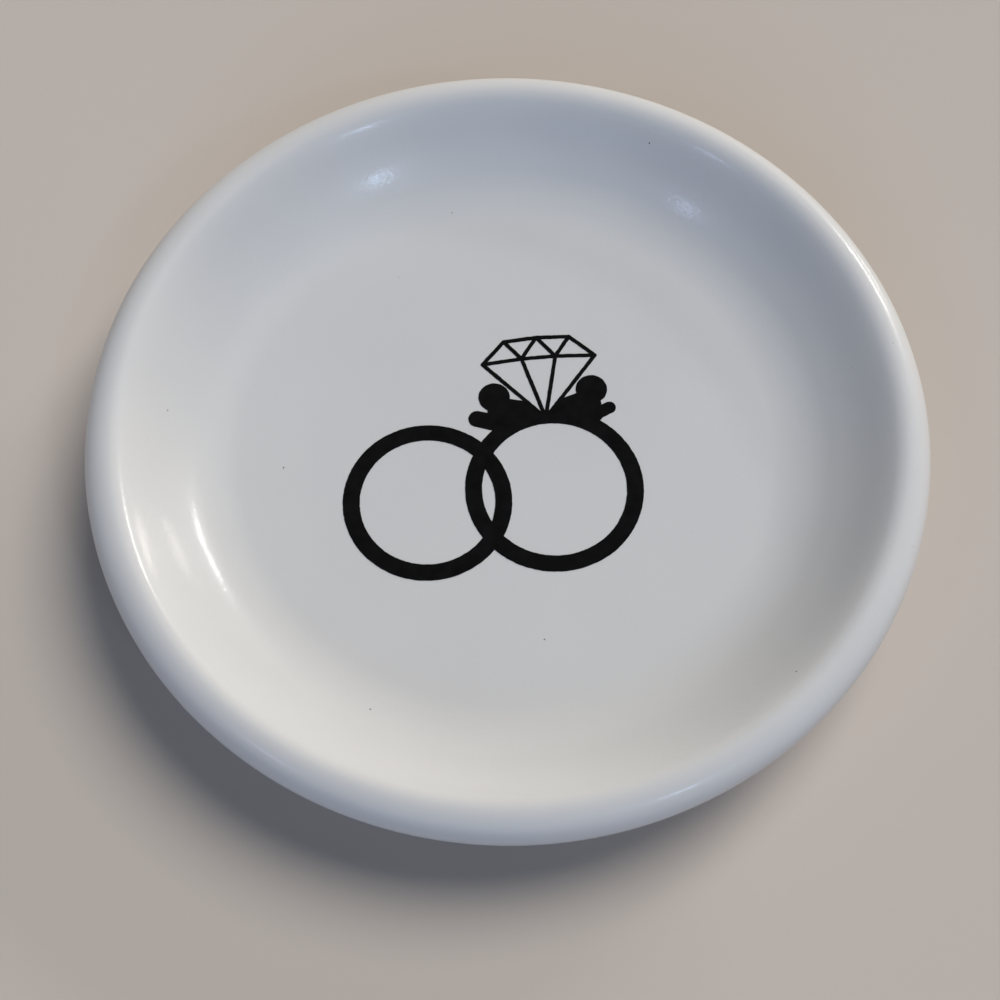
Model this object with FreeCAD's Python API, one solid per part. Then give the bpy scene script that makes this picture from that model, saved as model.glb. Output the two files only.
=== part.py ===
"""Ring dish: a round glazed dish with a rolled lip and a foot ring, printed with two linked rings.

Millimetres and degrees, +Z up. The origin is where the dish's axis meets the surface that it stands on,
and +Y points to the top of the print. The sizes of the dish are taken over its glaze.
"""
import FreeCAD, Part
import math
import os

from FreeCAD import Vector

# Dish
outer_radius = 50.0
well_depth = 8.9
floor_thickness = 4.3
well_corner_radius = 11.0
wall_angle = 44.0
lip_inner_radius = 2.4
lip_outer_radius = 3.1

# Foot ring
foot_height = 1.0
foot_width = 3.4
foot_setback = 2.0
foot_root_radius = 0.4
foot_edge_radius = 0.25
bare_foot_height = 0.4

# Coats
glaze_thickness = 0.3
film_thickness = 0.06

# Printed rings, placed from the dish's axis
stone_ring_x = 5.1
stone_ring_y = -6.0
stone_ring_inner_radius = 8.75
plain_ring_inner_radius = 8.15
band_width = 2.05
ring_spacing = 15.4
plain_ring_drop = 0.25

# Printed stone, along the middle of its strokes
stroke_width = 0.5
stone_sink = 1.25
girdle_width = 14.1
girdle_facet_width = 4.25
girdle_rise = 0.35
pavilion_depth = 8.1
table_width = 8.2
table_rise = 0.25
crown_height = 2.95

# Printed shoulders, measured out from the stone's axis and up from the top of its band
bead_offset = 6.05
bead_rise = 2.15
bead_radius = 1.95
neck_radius = 1.0
leaf_root_drop = 1.4
leaf_drop = 0.6
left_leaf_offset = 8.4
left_leaf_radius = 1.1
right_leaf_offset = 7.95
right_leaf_radius = 0.8
saddle_inner_rise = 0.6
saddle_outer_rise = 1.75

# Points closer than this are one point
coincidence = 0.000001

# Heights and radii that follow from these
floor_height = foot_height + floor_thickness
height = floor_height + well_depth
base_corner_radius = well_corner_radius + floor_thickness
crest_radius = outer_radius - lip_outer_radius
inner_lip_centre = Vector(crest_radius, 0, height - lip_inner_radius)
outer_lip_centre = Vector(crest_radius, 0, height - lip_outer_radius)
corner_height = floor_height + well_corner_radius
wall_sine = math.sin(math.radians(wall_angle))
wall_cosine = math.cos(math.radians(wall_angle))
wall_lean = wall_cosine * (corner_height - inner_lip_centre.z) - lip_inner_radius - well_corner_radius
floor_radius = crest_radius + wall_lean / wall_sine
corner_centre = Vector(floor_radius, 0, corner_height)
foot_outer_radius = floor_radius - foot_setback
foot_inner_radius = foot_outer_radius - foot_width

stone_ring_outer_radius = stone_ring_inner_radius + band_width
band_middle_radius = stone_ring_inner_radius + band_width / 2
tip_height = stone_ring_outer_radius - stone_sink
girdle_height = tip_height + pavilion_depth
table_height = girdle_height + crown_height


def flank_angle():
    """Slope of the outside, a straight line that touches both the base's corner and the lip."""
    across = outer_lip_centre.x - corner_centre.x
    down = corner_centre.z - outer_lip_centre.z
    reach = (base_corner_radius - lip_outer_radius) / math.hypot(across, down)
    return math.degrees(math.asin(reach) - math.atan2(down, across))


def polar(centre, radius, angle):
    """The point at an angle round a centre, in the plane of radius and height."""
    turn = math.radians(angle)
    return centre + Vector(radius * math.cos(turn), 0, radius * math.sin(turn))


def upper_arcs(depth):
    """Arcs from the well over the lip to the foot's outside, at a depth below the glaze's surface."""
    flank = flank_angle()
    root = Vector(foot_outer_radius + foot_root_radius, 0, foot_height - foot_root_radius)
    return [
        (corner_centre, well_corner_radius + depth, -90, wall_angle - 90),
        (inner_lip_centre, lip_inner_radius - depth, wall_angle + 90, 90),
        (outer_lip_centre, lip_outer_radius - depth, 90, flank - 90),
        (corner_centre, base_corner_radius - depth, flank - 90, -90),
        (root, foot_root_radius + depth, 90, 180),
    ]


def base_arcs(depth):
    """The arc from the underside down to the foot's inside, at a depth below the glaze's surface."""
    root = Vector(foot_inner_radius - foot_root_radius, 0, foot_height - foot_root_radius)
    return [(root, foot_root_radius + depth, 90, 0)]


def foot_arcs():
    """Rounded edges of the foot's bare standing face, from its outside to its inside."""
    inset = glaze_thickness + foot_edge_radius
    outside = Vector(foot_outer_radius - inset, 0, foot_edge_radius)
    inside = Vector(foot_inner_radius + inset, 0, foot_edge_radius)
    return [(outside, foot_edge_radius, 0, -90), (inside, foot_edge_radius, -90, -180)]


def backwards(arcs):
    """The same arcs, drawn the other way."""
    return [(centre, radius, last, first) for centre, radius, first, last in reversed(arcs)]


def line(start, end):
    """The straight edge between two points, or nothing where one stretch runs straight into the next."""
    if start.isEqual(end, coincidence):
        return []
    return [Part.LineSegment(start, end).toShape()]


def revolved(stops):
    """A solid of revolution from points and arcs in order, joined by straight lines and closed."""
    edges = []
    here = stops[0]
    for stop in stops[1:] + stops[:1]:
        if isinstance(stop, Vector):
            edges += line(here, stop)
            here = stop
            continue
        centre, radius, first, last = stop
        start = polar(centre, radius, first)
        middle = polar(centre, radius, (first + last) / 2)
        end = polar(centre, radius, last)
        edges += line(here, start)
        edges.append(Part.Arc(start, middle, end).toShape())
        here = end
    face = Part.Face(Part.Wire(edges))
    return face.revolve(Vector(0, 0, 0), Vector(0, 0, 1), 360)


def clay_body():
    """The fired clay inside the glaze, bare only at the foot's standing face."""
    top = Vector(0, 0, floor_height - glaze_thickness)
    underside = Vector(0, 0, foot_height + glaze_thickness)
    arcs = upper_arcs(glaze_thickness) + foot_arcs() + backwards(base_arcs(glaze_thickness))
    return revolved([top] + arcs + [underside])


def coat(arcs, level, inner_level, foot_radius, inner_foot_radius):
    """A coat of glaze between two sets of arcs, from the axis to its edge on the foot."""
    edge = [Vector(foot_radius, 0, bare_foot_height), Vector(inner_foot_radius, 0, bare_foot_height)]
    outside = [Vector(0, 0, level)] + arcs(0)
    inside = backwards(arcs(glaze_thickness)) + [Vector(0, 0, inner_level)]
    return revolved(outside + edge + inside)


def upper_glaze():
    """The coat over the well, the lip, the outside and the side of the foot."""
    inner_foot_radius = foot_outer_radius - glaze_thickness
    return coat(upper_arcs, floor_height, floor_height - glaze_thickness, foot_outer_radius, inner_foot_radius)


def base_glaze():
    """The patch of glaze under the dish, inside the foot ring."""
    inner_foot_radius = foot_inner_radius + glaze_thickness
    return coat(base_arcs, foot_height, foot_height + glaze_thickness, foot_inner_radius, inner_foot_radius)


def spot(x, y):
    """A point on the floor of the well, measured from the middle of the stone's ring."""
    return Vector(stone_ring_x + x, stone_ring_y + y, floor_height)


def film(face):
    """A flat face raised to the print's thickness of ink."""
    return face.extrude(Vector(0, 0, film_thickness))


def polygon(points):
    """A flat face with straight edges."""
    return Part.Face(Part.makePolygon(points + points[:1]))


def disc(centre, radius):
    """A round film."""
    return film(Part.Face(Part.Wire(Part.makeCircle(radius, centre))))


def capsule(start, end, radius):
    """A film round a straight line, with round ends."""
    along = (end - start).normalize() * radius
    side = Vector(-along.y, along.x, 0)
    edges = [
        Part.LineSegment(start + side, end + side).toShape(),
        Part.Arc(end + side, end + along, end - side).toShape(),
        Part.LineSegment(end - side, start - side).toShape(),
        Part.Arc(start - side, start - along, start + side).toShape(),
    ]
    return film(Part.Face(Part.Wire(edges)))


def band(centre, inner_radius):
    """The film of one printed ring."""
    return disc(centre, inner_radius + band_width).cut(disc(centre, inner_radius))


def stone_ring():
    """The band of the ring that carries the stone."""
    return band(spot(0, 0), stone_ring_inner_radius)


def stone_facets():
    """The outline of the stone and its facets, along the middle of their strokes."""
    tip = spot(0, tip_height)
    girdle = [
        spot(-girdle_width / 2, girdle_height),
        spot(-girdle_facet_width / 2, girdle_height + girdle_rise),
        spot(girdle_facet_width / 2, girdle_height + girdle_rise),
        spot(girdle_width / 2, girdle_height),
    ]
    table = [
        spot(-table_width / 2, table_height),
        spot(0, table_height + table_rise),
        spot(table_width / 2, table_height),
    ]
    pavilion = [[girdle[i], tip, girdle[i + 1]] for i in range(len(girdle) - 1)]
    upright = [[girdle[i], girdle[i + 1], table[i]] for i in range(len(table))]
    hanging = [[table[i], girdle[i + 1], table[i + 1]] for i in range(len(table) - 1)]
    outline = [girdle[0], tip, girdle[-1]] + table[::-1]
    return outline, pavilion + upright + hanging


def stone_outline():
    """The whole area of the stone, with the outer half of its strokes."""
    outline, _ = stone_facets()
    return film(polygon(outline).makeOffset2D(stroke_width / 2))


def shoulder(side, leaf_offset, leaf_radius):
    """One scrolled shoulder beside the stone: its bead, leaf and saddle. side is -1 left or 1 right."""
    top = stone_ring_outer_radius
    bead = spot(side * bead_offset, top + bead_rise)
    leaf_root = spot(side * bead_offset, top - leaf_root_drop)
    leaf = spot(side * leaf_offset, top - leaf_drop)
    band_spot = spot(side * bead_offset, math.sqrt(band_middle_radius ** 2 - bead_offset ** 2))
    saddle = [
        spot(0, band_middle_radius),
        spot(0, top + saddle_inner_rise),
        spot(side * (bead_offset - bead_radius), top + saddle_outer_rise),
        bead,
        leaf_root,
        band_spot,
    ]
    return [
        film(polygon(saddle)),
        disc(bead, bead_radius),
        capsule(bead, leaf_root, neck_radius),
        capsule(leaf_root, leaf, leaf_radius),
    ]


def plain_ring_print():
    """The plain ring, which passes behind the stone's ring."""
    centre = spot(-ring_spacing, -plain_ring_drop)
    return band(centre, plain_ring_inner_radius).cut(stone_ring())


def stone_ring_print():
    """The stone's ring with both shoulders, cut to the stone's outline."""
    shoulders = shoulder(-1, left_leaf_offset, left_leaf_radius)
    shoulders += shoulder(1, right_leaf_offset, right_leaf_radius)
    return stone_ring().multiFuse(shoulders).removeSplitter().cut(stone_outline())


def stone_print():
    """The strokes of the stone: its outline with every facet left open."""
    _, facets = stone_facets()
    windows = [film(polygon(facet).makeOffset2D(-stroke_width / 2)) for facet in facets]
    return stone_outline().cut(windows)


nodes = {
    "clay_body": clay_body,
    "upper_glaze": upper_glaze,
    "base_glaze": base_glaze,
    "plain_ring_print": plain_ring_print,
    "stone_ring_print": stone_ring_print,
    "stone_print": stone_print,
}

os.makedirs("parts", exist_ok=True)
for name, make in nodes.items():
    make().exportStep(f"parts/{name}.step")
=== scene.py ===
"""Looks of the ring dish: its glaze, bare foot and black print, with a camera and studio light.

Metres, in the part's frame: the origin is under the middle of the dish, and +Y is the top of the print.
"""
import math

import bmesh
import bpy
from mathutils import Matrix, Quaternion, Vector, noise


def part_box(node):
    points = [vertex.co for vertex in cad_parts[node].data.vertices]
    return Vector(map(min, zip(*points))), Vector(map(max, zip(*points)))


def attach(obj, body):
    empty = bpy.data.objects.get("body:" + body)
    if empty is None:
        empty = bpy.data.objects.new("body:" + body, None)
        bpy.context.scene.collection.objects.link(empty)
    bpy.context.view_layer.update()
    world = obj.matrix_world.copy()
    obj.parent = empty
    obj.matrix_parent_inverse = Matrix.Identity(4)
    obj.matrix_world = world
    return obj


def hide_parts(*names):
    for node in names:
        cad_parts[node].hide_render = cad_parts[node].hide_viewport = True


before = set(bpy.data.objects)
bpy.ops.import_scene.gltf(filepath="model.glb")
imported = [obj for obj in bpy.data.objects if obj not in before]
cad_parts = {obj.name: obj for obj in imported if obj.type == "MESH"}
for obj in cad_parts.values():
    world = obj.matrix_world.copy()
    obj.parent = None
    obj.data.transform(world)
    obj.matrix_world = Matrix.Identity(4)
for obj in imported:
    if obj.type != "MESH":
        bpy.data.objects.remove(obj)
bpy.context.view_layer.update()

MM = 0.001

# Sizes of the dish over its glaze, read from the frame where a box gives them
glaze_low, glaze_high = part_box("upper_glaze")
print_low, print_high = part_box("stone_ring_print")
clay_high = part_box("clay_body")[1]
base_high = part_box("base_glaze")[1]
OUTER_RADIUS = glaze_high.x
HEIGHT = glaze_high.z
FLOOR_HEIGHT = print_low.z
FILM_THICKNESS = print_high.z - print_low.z
GLAZE_THICKNESS = HEIGHT - clay_high.z
BARE_FOOT_HEIGHT = glaze_low.z
FOOT_INNER_RADIUS = base_high.x - GLAZE_THICKNESS
FOOT_HEIGHT = base_high.z - GLAZE_THICKNESS
FOOT_WIDTH = 3.4 * MM
FOOT_ROOT_RADIUS = 0.4 * MM
WELL_CORNER_RADIUS = 11.0 * MM
WALL_ANGLE = 44.0
LIP_INNER_RADIUS = 2.4 * MM
LIP_OUTER_RADIUS = 3.1 * MM
CREST_RADIUS = OUTER_RADIUS - LIP_OUTER_RADIUS

# Fineness of the meshes
TURN_STEPS = 288
ARC_STEPS_LEAST = 4
PROFILE_STEP = 0.5 * MM
STRAIGHT_STEP = 1.8 * MM
FILM_STEP = 0.09 * MM

# Points of an outline that are closer than this are one point
SAME_POINT = 0.0005 * MM

# A face belongs to the top of a film where its normal's Z is above this
TOP_RISE = 0.9

# Unevenness of the wall's slope in degrees, of the glaze's thickness and of the print's edges
WALL_SWAY = 6.0
GLAZE_WAVE = 0.04 * MM
GLAZE_WAVE_LENGTH = 20.0 * MM
INK_WAVE = 0.035 * MM
INK_WAVE_LENGTH = 0.45 * MM
INK_RIPPLE = 0.0175 * MM
INK_RIPPLE_LENGTH = 0.15 * MM
INK_SEED = 5

# Range that a noise texture's values mostly lie in
NOISE_RANGE = (0.3, 0.7)

# Glaze: its mottling and specks, its gloss, and the waves of its skin
GLAZE_DARK = (0.606, 0.606, 0.606, 1.0)
GLAZE_PALE = (0.622, 0.622, 0.62, 1.0)
MOTTLE_LENGTH = 14.0 * MM
SPECK_COLOUR = (0.06, 0.055, 0.06, 1.0)
SPECK_SPACING = 5.6 * MM
SPECK_RADIUS = 0.13 * MM
SPECK_CORE_SHARE = 0.6
GLAZE_ROUGHNESS = (0.29, 0.34)
GLAZE_GLOSS_LENGTH = 4.0 * MM
COAT_WEIGHT = 0.35
COAT_ROUGHNESS = 0.12
SWELL_DEPTH = 0.008 * MM
SWELL_LENGTH = 3.0 * MM
GRAIN_DEPTH = 0.009 * MM
COAT_GRAIN_DEPTH = 0.015 * MM
GRAIN_LENGTH = 0.5 * MM

# Bare clay
CLAY_DARK = (0.6, 0.55, 0.47, 1.0)
CLAY_PALE = (0.74, 0.7, 0.62, 1.0)
CLAY_ROUGHNESS = 0.85
GRIT_DEPTH = 0.03 * MM
GRIT_LENGTH = 0.35 * MM

# Ink
INK_DARK = (0.002, 0.002, 0.0022, 1.0)
INK_PALE = (0.005, 0.005, 0.0055, 1.0)
INK_PATCH_LENGTH = 1.2 * MM
INK_ROUGHNESS = (0.4, 0.6)
INK_GLOSS_LENGTH = 0.6 * MM
INK_SPECULAR = 0.06
INK_GRAIN_DEPTH = 0.004 * MM
INK_GRAIN_LENGTH = 0.3 * MM

# Camera round the middle of the well's floor, and the point of that floor that it looks at
CAMERA_LENS = 61.35
CAMERA_SENSOR = 36.0
CAMERA_DISTANCE = 208.07 * MM
CAMERA_AZIMUTH = 263.1
CAMERA_ELEVATION = 64.46
CAMERA_ROLL = 0.725
CAMERA_AIM = (-1.61 * MM, -6.89 * MM)

# Lamps far off: azimuth, elevation and width in degrees, strength and colour
# The glaze mirrors the first group but not the second
GLINT_LAMPS = {
    "window_left": (45.0, 23.0, 5.0, 0.22, (1.0, 0.98, 0.94)),
    "window_right": (39.0, 23.0, 5.0, 0.22, (1.0, 0.98, 0.94)),
    "sill": (40.0, 4.0, 7.0, 0.12, (1.0, 0.93, 0.84)),
    "front_left": (212.0, 42.0, 4.5, 0.075, (0.56, 0.64, 1.0)),
    "front_right": (302.0, 42.0, 5.0, 0.15, (0.5, 0.7, 1.0)),
}
FILL_LAMPS = {
    "low": (54.0, 6.0, 16.0, 1.25, (1.0, 0.93, 0.85)),
    "room": (38.0, 57.0, 36.0, 2.15, (1.0, 0.975, 0.94)),
    "front": (256.0, 28.0, 40.0, 0.93, (0.52, 0.69, 1.0)),
}

# Surroundings
AMBIENT = (0.05, 0.05, 0.05, 1.0)
BACKDROP_COLOUR = (0.5, 0.49, 0.475, 1.0)
FLOOR_COLOUR = (0.56, 0.5, 0.445, 1.0)
FLOOR_ROUGHNESS = 0.9
FLOOR_SIZE = 6.0


def arc(centre, radius, first, last):
    """Points on an arc in the plane of radius and height, between two angles in degrees."""
    sweep = math.radians(last - first)
    count = max(ARC_STEPS_LEAST, math.ceil(abs(sweep) * radius / PROFILE_STEP))
    points = []
    for i in range(count + 1):
        turn = math.radians(first) + sweep * i / count
        points.append((centre[0] + radius * math.cos(turn), centre[1] + radius * math.sin(turn)))
    return points


def late_ease(share):
    """A rise from 0 to 1 that is level at both ends and steepest at two thirds."""
    return share ** 3 * (4 - 3 * share)


def swayed(start, end, slope):
    """Points between the ends of a wall that has this slope at both and is a little steeper between."""
    across = end[0] - start[0]
    rise = end[1] - start[1]
    gentle = across * math.tan(math.radians(slope))
    count = math.ceil(math.dist(start, end) / PROFILE_STEP)
    points = []
    for i in range(1, count):
        share = i / count
        height = start[1] + gentle * share + (rise - gentle) * late_ease(share)
        points.append((start[0] + across * share, height))
    return points


def spread(points):
    """The same outline with doubled points dropped and its straight runs divided into steps."""
    spaced = [points[0]]
    for end in points[1:]:
        start = spaced[-1]
        reach = math.dist(start, end)
        if reach < SAME_POINT:
            continue
        count = math.ceil(reach / STRAIGHT_STEP)
        for i in range(1, count + 1):
            share = i / count
            spaced.append(tuple(a + (b - a) * share for a, b in zip(start, end)))
    return spaced


def well_corner():
    """The middle of the arc between the well's floor and its wall, which is also the base's."""
    wall = math.radians(WALL_ANGLE)
    rise = FLOOR_HEIGHT + WELL_CORNER_RADIUS - (HEIGHT - LIP_INNER_RADIUS)
    lean = math.cos(wall) * rise - LIP_INNER_RADIUS - WELL_CORNER_RADIUS
    return CREST_RADIUS + lean / math.sin(wall), FLOOR_HEIGHT + WELL_CORNER_RADIUS


def flank_angle(corner, base_radius, lip):
    """Slope of the outside, a straight line that touches both the base's corner and the lip."""
    across = lip[0] - corner[0]
    down = corner[1] - lip[1]
    reach = (base_radius - LIP_OUTER_RADIUS) / math.hypot(across, down)
    return math.degrees(math.asin(reach) - math.atan2(down, across))


def dish_outline(depth, sway):
    """The glazed surface from the axis over the lip to the foot, at a depth below its top.

    sway is how many degrees less than the wall's slope it has at the wall's foot and top.
    """
    corner = well_corner()
    inner_lip = (CREST_RADIUS, HEIGHT - LIP_INNER_RADIUS)
    outer_lip = (CREST_RADIUS, HEIGHT - LIP_OUTER_RADIUS)
    root = (FOOT_INNER_RADIUS + FOOT_WIDTH + FOOT_ROOT_RADIUS, FOOT_HEIGHT - FOOT_ROOT_RADIUS)
    base_radius = corner[1] - FOOT_HEIGHT
    flank = flank_angle(corner, base_radius, outer_lip)
    slope = WALL_ANGLE - sway
    well = arc(corner, WELL_CORNER_RADIUS + depth, -90, slope - 90)
    lip = arc(inner_lip, LIP_INNER_RADIUS - depth, slope + 90, 90)
    points = [(0.0, FLOOR_HEIGHT - depth)]
    points += well + swayed(well[-1], lip[0], slope) + lip
    points += arc(outer_lip, LIP_OUTER_RADIUS - depth, 90, flank - 90)
    points += arc(corner, base_radius - depth, flank - 90, -90)
    points += arc(root, FOOT_ROOT_RADIUS + depth, 90, 180)
    return points


def base_outline(depth):
    """The glazed underside from the axis to the inside of the foot, at a depth below its surface."""
    root = (FOOT_INNER_RADIUS - FOOT_ROOT_RADIUS, FOOT_HEIGHT - FOOT_ROOT_RADIUS)
    return [(0.0, FOOT_HEIGHT + depth)] + arc(root, FOOT_ROOT_RADIUS + depth, 90, 0)


def glaze_edge(surface, side):
    """The rounded edge of a coat on the foot, below the last point of its surface.

    side is 1 where the foot lies further out than that surface, and -1 where it lies further in.
    """
    half = GLAZE_THICKNESS / 2
    centre = (surface[-1][0] + side * half, BARE_FOOT_HEIGHT + half)
    first = 180 if side > 0 else 0
    return arc(centre, half, first, first + side * 180)


def turned(outline):
    """An outline's points turned round Z, and each ring's indices, of which the axis has only one."""
    points = []
    rings = []
    for radius, height in outline:
        steps = TURN_STEPS if radius else 1
        rings.append(range(len(points), len(points) + steps))
        for i in range(steps):
            turn = math.tau * i / TURN_STEPS
            points.append((radius * math.cos(turn), radius * math.sin(turn), height))
    return points, rings


def faces_between(lower, upper):
    """The faces between two neighbouring rings, either of which can be a point on the axis."""
    faces = []
    for i in range(TURN_STEPS):
        j = (i + 1) % TURN_STEPS
        if len(lower) == 1:
            faces.append((lower[0], upper[i], upper[j]))
        elif len(upper) == 1:
            faces.append((lower[i], upper[0], lower[j]))
        else:
            faces.append((lower[i], upper[i], upper[j], lower[j]))
    return faces


def new_piece(name, mesh):
    """An object for a mesh, in the scene and riding on the dish."""
    piece = bpy.data.objects.new(name, mesh)
    bpy.context.scene.collection.objects.link(piece)
    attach(piece, "root")
    return piece


def lathe(name, surface, inside):
    """A closed piece turned round Z from an outer outline and an inner one, both from the axis out.

    Returns the piece and how many of its points lie on the outer outline.
    """
    points, rings = turned(surface + inside[::-1])
    faces = []
    for lower, upper in zip(rings, rings[1:]):
        faces += faces_between(lower, upper)
    mesh = bpy.data.meshes.new(name)
    mesh.from_pydata(points, [], faces)
    work = bmesh.new()
    work.from_mesh(mesh)
    bmesh.ops.recalc_face_normals(work, faces=work.faces)
    work.to_mesh(mesh)
    work.free()
    mesh.polygons.foreach_set("use_smooth", [True] * len(mesh.polygons))
    return new_piece(name, mesh), sum(len(ring) for ring in rings[:len(surface)])


def make_uneven(piece, count):
    """Thins a coat a little here and there at its first points, but not on the floor under the print."""
    mesh = piece.data
    normals = [Vector(n.vector) for n in mesh.vertex_normals]
    floor_radius = well_corner()[0]
    for vertex, normal in zip(mesh.vertices[:count], normals):
        radius = math.hypot(vertex.co.x, vertex.co.y)
        share = min(1.0, max(0.0, (radius - floor_radius) / WELL_CORNER_RADIUS))
        if vertex.co.z > FOOT_HEIGHT:
            thinning = (1 + noise.noise(vertex.co / GLAZE_WAVE_LENGTH)) / 2
            vertex.co -= normal * GLAZE_WAVE * share * thinning


def make_upper_coat():
    """The glaze over the well, the lip, the outside and the side of the foot."""
    surface = dish_outline(0, WALL_SWAY)
    edge = glaze_edge(surface, -1)
    piece, count = lathe("upper_coat", spread(surface + edge), spread(dish_outline(GLAZE_THICKNESS, 0)))
    make_uneven(piece, count)
    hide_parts("upper_glaze")
    return piece


def make_base_coat():
    """The glaze under the dish, inside the foot ring."""
    surface = base_outline(0)
    edge = glaze_edge(surface, 1)
    piece, _ = lathe("base_coat", spread(surface + edge), spread(base_outline(GLAZE_THICKNESS)))
    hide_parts("base_glaze")
    return piece


def rim_links(mesh):
    """For each point on the rim of a flat mesh's top, the points next to it on the rim."""
    uses = {}
    for face in mesh.polygons:
        if face.normal.z > TOP_RISE:
            for edge in face.edge_keys:
                uses[edge] = uses.get(edge, 0) + 1
    links = {}
    for edge, count in uses.items():
        if count == 1:
            links.setdefault(edge[0], []).append(edge[1])
            links.setdefault(edge[1], []).append(edge[0])
    return links


def top_loops(node):
    """The closed outlines of a flat node's top, each a list of points in order."""
    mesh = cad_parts[node].data
    links = rim_links(mesh)
    loops = []
    while links:
        start = next(iter(links))
        loop = [start]
        here = links.pop(start)[0]
        while here != start:
            loop.append(here)
            onward = [other for other in links.pop(here) if other in links]
            here = onward[0] if onward else start
        loops.append([mesh.vertices[i].co.copy() for i in loop])
    return loops


def ragged(point):
    """A point of the print's edge, shifted a little as ink on glaze is, at the film's underside."""
    shift = INK_WAVE * noise.noise_vector(point / INK_WAVE_LENGTH)
    shift += INK_RIPPLE * noise.noise_vector(point / INK_RIPPLE_LENGTH)
    return Vector((point.x + shift.x, point.y + shift.y, FLOOR_HEIGHT))


def make_print(node, name):
    """A film of ink with slightly ragged edges, on the outlines of a printed node."""
    work = bmesh.new()
    for loop in top_loops(node):
        corners = []
        for start, end in zip(loop, loop[1:] + loop[:1]):
            count = max(1, math.ceil((end - start).length / FILM_STEP))
            for i in range(count):
                corners.append(work.verts.new(ragged(start.lerp(end, i / count))))
        for first, second in zip(corners, corners[1:] + corners[:1]):
            work.edges.new((first, second))
    bmesh.ops.triangle_fill(work, use_beauty=True, edges=work.edges, normal=(0, 0, 1))
    raised = bmesh.ops.extrude_face_region(work, geom=work.faces[:])
    lifted = [item for item in raised["geom"] if isinstance(item, bmesh.types.BMVert)]
    bmesh.ops.translate(work, verts=lifted, vec=(0, 0, FILM_THICKNESS))
    bmesh.ops.recalc_face_normals(work, faces=work.faces)
    mesh = bpy.data.meshes.new(name)
    work.to_mesh(mesh)
    work.free()
    piece = new_piece(name, mesh)
    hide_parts(node)
    return piece


def new_material(name):
    """A material with its node tree and the shader in it."""
    material = bpy.data.materials.new(name)
    material.use_nodes = True
    tree = material.node_tree
    return material, tree, tree.nodes["Principled BSDF"]


def add_texture(tree, kind, wave_length):
    """A texture with a wave length in metres, fixed to the object."""
    place = tree.nodes.new("ShaderNodeTexCoord")
    texture = tree.nodes.new(kind)
    texture.inputs["Scale"].default_value = 1 / wave_length
    tree.links.new(place.outputs["Object"], texture.inputs["Vector"])
    return texture


def add_noise(tree, wave_length, detail):
    """Noise with a wave length in metres, and as many finer waves on it as detail says."""
    texture = add_texture(tree, "ShaderNodeTexNoise", wave_length)
    texture.inputs["Detail"].default_value = detail
    return texture.outputs["Fac"]


def add_range(tree, value, results, values=NOISE_RANGE):
    """A value brought from a range of values, noise's unless another is given, to a range of results."""
    remap = tree.nodes.new("ShaderNodeMapRange")
    remap.inputs["From Min"].default_value = values[0]
    remap.inputs["From Max"].default_value = values[1]
    remap.inputs["To Min"].default_value = results[0]
    remap.inputs["To Max"].default_value = results[1]
    tree.links.new(value, remap.inputs["Value"])
    return remap.outputs["Result"]


def add_specks(tree, spacing, radius):
    """1 inside small round specks, set at random in the glaze, and 0 elsewhere."""
    texture = add_texture(tree, "ShaderNodeTexVoronoi", spacing)
    reach = radius / spacing
    return add_range(tree, texture.outputs["Distance"], (1, 0), (SPECK_CORE_SHARE * reach, reach))


def add_mix(tree, factor, first, second):
    """A colour between two, each a colour or another node's output."""
    mix = tree.nodes.new("ShaderNodeMix")
    mix.data_type = "RGBA"
    tree.links.new(factor, mix.inputs["Factor"])
    for colour, socket in ((first, mix.inputs["A"]), (second, mix.inputs["B"])):
        if isinstance(colour, tuple):
            socket.default_value = colour
        else:
            tree.links.new(colour, socket)
    return mix.outputs["Result"]


def add_bump(tree, height, depth, below=None):
    """A bump whose height is a depth in metres, over another bump if there is one."""
    bump = tree.nodes.new("ShaderNodeBump")
    bump.inputs["Distance"].default_value = depth
    tree.links.new(height, bump.inputs["Height"])
    if below:
        tree.links.new(below, bump.inputs["Normal"])
    return bump.outputs["Normal"]


def glaze_material():
    """Satin white glaze: faint mottling and specks, an orange-peel skin and slightly uneven gloss."""
    material, tree, shader = new_material("satin_glaze")
    tone = add_range(tree, add_noise(tree, MOTTLE_LENGTH, detail=1), (0, 1))
    mottled = add_mix(tree, tone, GLAZE_DARK, GLAZE_PALE)
    colour = add_mix(tree, add_specks(tree, SPECK_SPACING, SPECK_RADIUS), mottled, SPECK_COLOUR)
    tree.links.new(colour, shader.inputs["Base Color"])
    gloss = add_range(tree, add_noise(tree, GLAZE_GLOSS_LENGTH, detail=1), GLAZE_ROUGHNESS)
    tree.links.new(gloss, shader.inputs["Roughness"])
    shader.inputs["Coat Weight"].default_value = COAT_WEIGHT
    shader.inputs["Coat Roughness"].default_value = COAT_ROUGHNESS
    swell = add_bump(tree, add_noise(tree, SWELL_LENGTH, detail=1), SWELL_DEPTH)
    grain = add_noise(tree, GRAIN_LENGTH, detail=1)
    tree.links.new(add_bump(tree, grain, GRAIN_DEPTH, swell), shader.inputs["Normal"])
    tree.links.new(add_bump(tree, grain, COAT_GRAIN_DEPTH, swell), shader.inputs["Coat Normal"])
    return material


def clay_material():
    """Bare fired clay: chalky, with fine grit."""
    material, tree, shader = new_material("fired_clay")
    grit = add_noise(tree, GRIT_LENGTH, detail=4)
    colour = add_mix(tree, add_range(tree, grit, (0, 1)), CLAY_DARK, CLAY_PALE)
    tree.links.new(colour, shader.inputs["Base Color"])
    shader.inputs["Roughness"].default_value = CLAY_ROUGHNESS
    tree.links.new(add_bump(tree, grit, GRIT_DEPTH), shader.inputs["Normal"])
    return material


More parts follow.
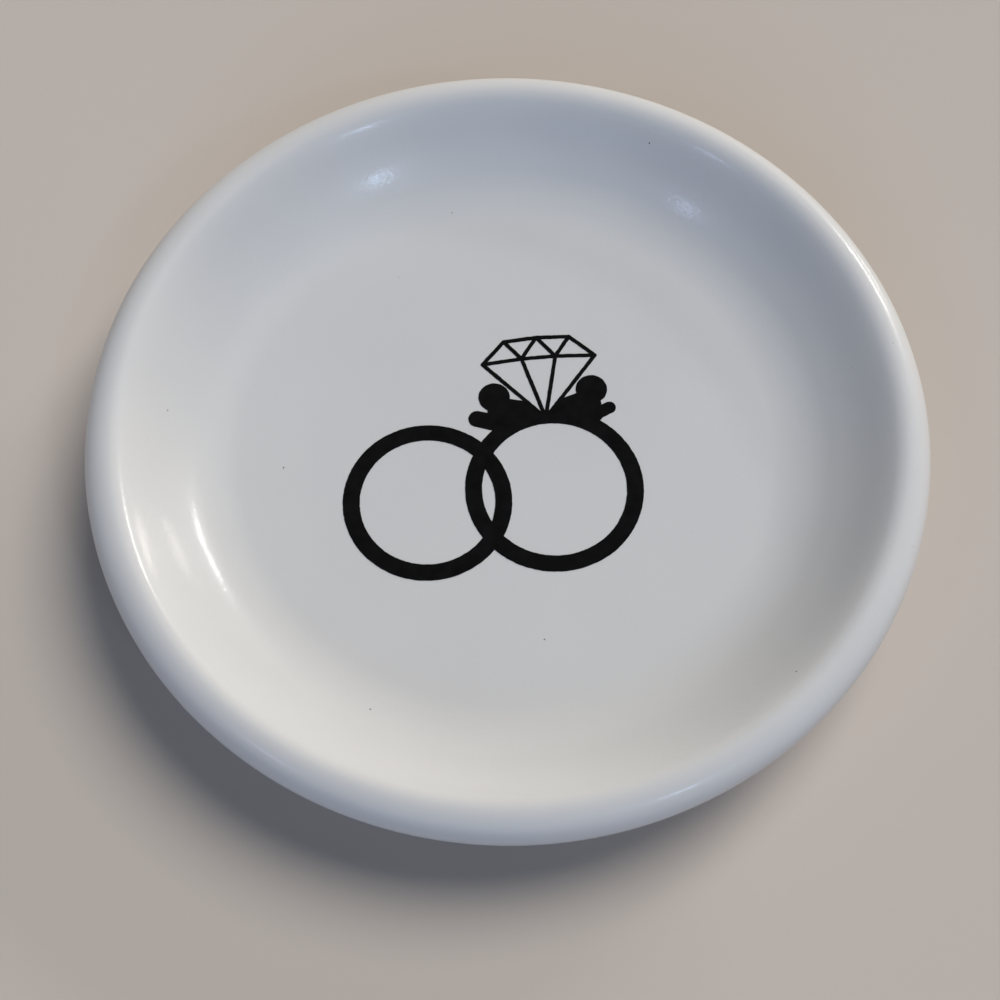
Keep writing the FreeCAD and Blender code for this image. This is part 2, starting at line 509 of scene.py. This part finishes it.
def ink_material():
    """Black ink with a faint sheen and a slightly patchy surface."""
    material, tree, shader = new_material("black_ink")
    patch = add_range(tree, add_noise(tree, INK_PATCH_LENGTH, detail=3), (0, 1))
    tree.links.new(add_mix(tree, patch, INK_DARK, INK_PALE), shader.inputs["Base Color"])
    gloss = add_range(tree, add_noise(tree, INK_GLOSS_LENGTH, detail=2), INK_ROUGHNESS)
    tree.links.new(gloss, shader.inputs["Roughness"])
    shader.inputs["Specular IOR Level"].default_value = INK_SPECULAR
    grain = add_noise(tree, INK_GRAIN_LENGTH, detail=2)
    tree.links.new(add_bump(tree, grain, INK_GRAIN_DEPTH), shader.inputs["Normal"])
    return material


def make_floor():
    """The plain floor that the dish stands on."""
    half = FLOOR_SIZE / 2
    corners = [(-half, -half, 0), (half, -half, 0), (half, half, 0), (-half, half, 0)]
    mesh = bpy.data.meshes.new("studio_floor")
    mesh.from_pydata(corners, [], [(0, 1, 2, 3)])
    floor = bpy.data.objects.new("studio_floor", mesh)
    bpy.context.scene.collection.objects.link(floor)
    material, _, shader = new_material("floor_paper")
    shader.inputs["Base Color"].default_value = FLOOR_COLOUR
    shader.inputs["Roughness"].default_value = FLOOR_ROUGHNESS
    mesh.materials.append(material)


def direction(azimuth, elevation):
    """The direction at an azimuth anticlockwise from +X and an elevation above the floor, in degrees."""
    turn = math.radians(azimuth)
    rise = math.radians(elevation)
    return Vector((math.cos(rise) * math.cos(turn), math.cos(rise) * math.sin(turn), math.sin(rise)))


def make_lamps(lamps, mirrored):
    """Soft lamps far off, each as wide as its angle, which the glaze mirrors or doesn't."""
    for name, (azimuth, elevation, width, strength, colour) in lamps.items():
        lamp = bpy.data.lights.new(name, "SUN")
        lamp.energy = strength
        lamp.color = colour
        lamp.angle = math.radians(width)
        holder = bpy.data.objects.new(name, lamp)
        holder.rotation_mode = "QUATERNION"
        holder.rotation_quaternion = direction(azimuth, elevation).to_track_quat("Z", "Y")
        holder.visible_glossy = mirrored
        bpy.context.scene.collection.objects.link(holder)


def make_world():
    """A weak even glow, with a pale backdrop where the camera or a reflection sees it."""
    world = bpy.data.worlds.new("studio")
    world.use_nodes = True
    tree = world.node_tree
    path = tree.nodes.new("ShaderNodeLightPath")
    seen = path.outputs["Is Camera Ray"]
    for kind in ("Is Glossy Ray", "Is Transmission Ray"):
        either = tree.nodes.new("ShaderNodeMath")
        either.operation = "MAXIMUM"
        tree.links.new(seen, either.inputs[0])
        tree.links.new(path.outputs[kind], either.inputs[1])
        seen = either.outputs["Value"]
    colour = add_mix(tree, seen, AMBIENT, BACKDROP_COLOUR)
    tree.links.new(colour, tree.nodes["Background"].inputs["Color"])
    bpy.context.scene.world = world


def make_camera():
    """The camera at the photograph's angle."""
    camera = bpy.data.cameras.new("camera")
    camera.lens = CAMERA_LENS
    camera.sensor_width = CAMERA_SENSOR
    camera.clip_start = MM
    holder = bpy.data.objects.new("camera", camera)
    middle = Vector((0, 0, FLOOR_HEIGHT))
    holder.location = middle + direction(CAMERA_AZIMUTH, CAMERA_ELEVATION) * CAMERA_DISTANCE
    aim = Vector((*CAMERA_AIM, FLOOR_HEIGHT))
    look = (aim - holder.location).to_track_quat("-Z", "Y")
    holder.rotation_mode = "QUATERNION"
    holder.rotation_quaternion = look @ Quaternion((0, 0, 1), math.radians(CAMERA_ROLL))
    bpy.context.scene.collection.objects.link(holder)
    bpy.context.scene.camera = holder


glaze = glaze_material()
ink = ink_material()
make_upper_coat().data.materials.append(glaze)
make_base_coat().data.materials.append(glaze)
noise.seed_set(INK_SEED)
for node in ("plain_ring_print", "stone_ring_print", "stone_print"):
    make_print(node, node.replace("print", "film")).data.materials.append(ink)
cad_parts["clay_body"].material_slots[0].material = clay_material()
make_floor()
make_lamps(GLINT_LAMPS, True)
make_lamps(FILL_LAMPS, False)
make_world()
make_camera()
bpy.context.scene.view_settings.view_transform = "Standard"
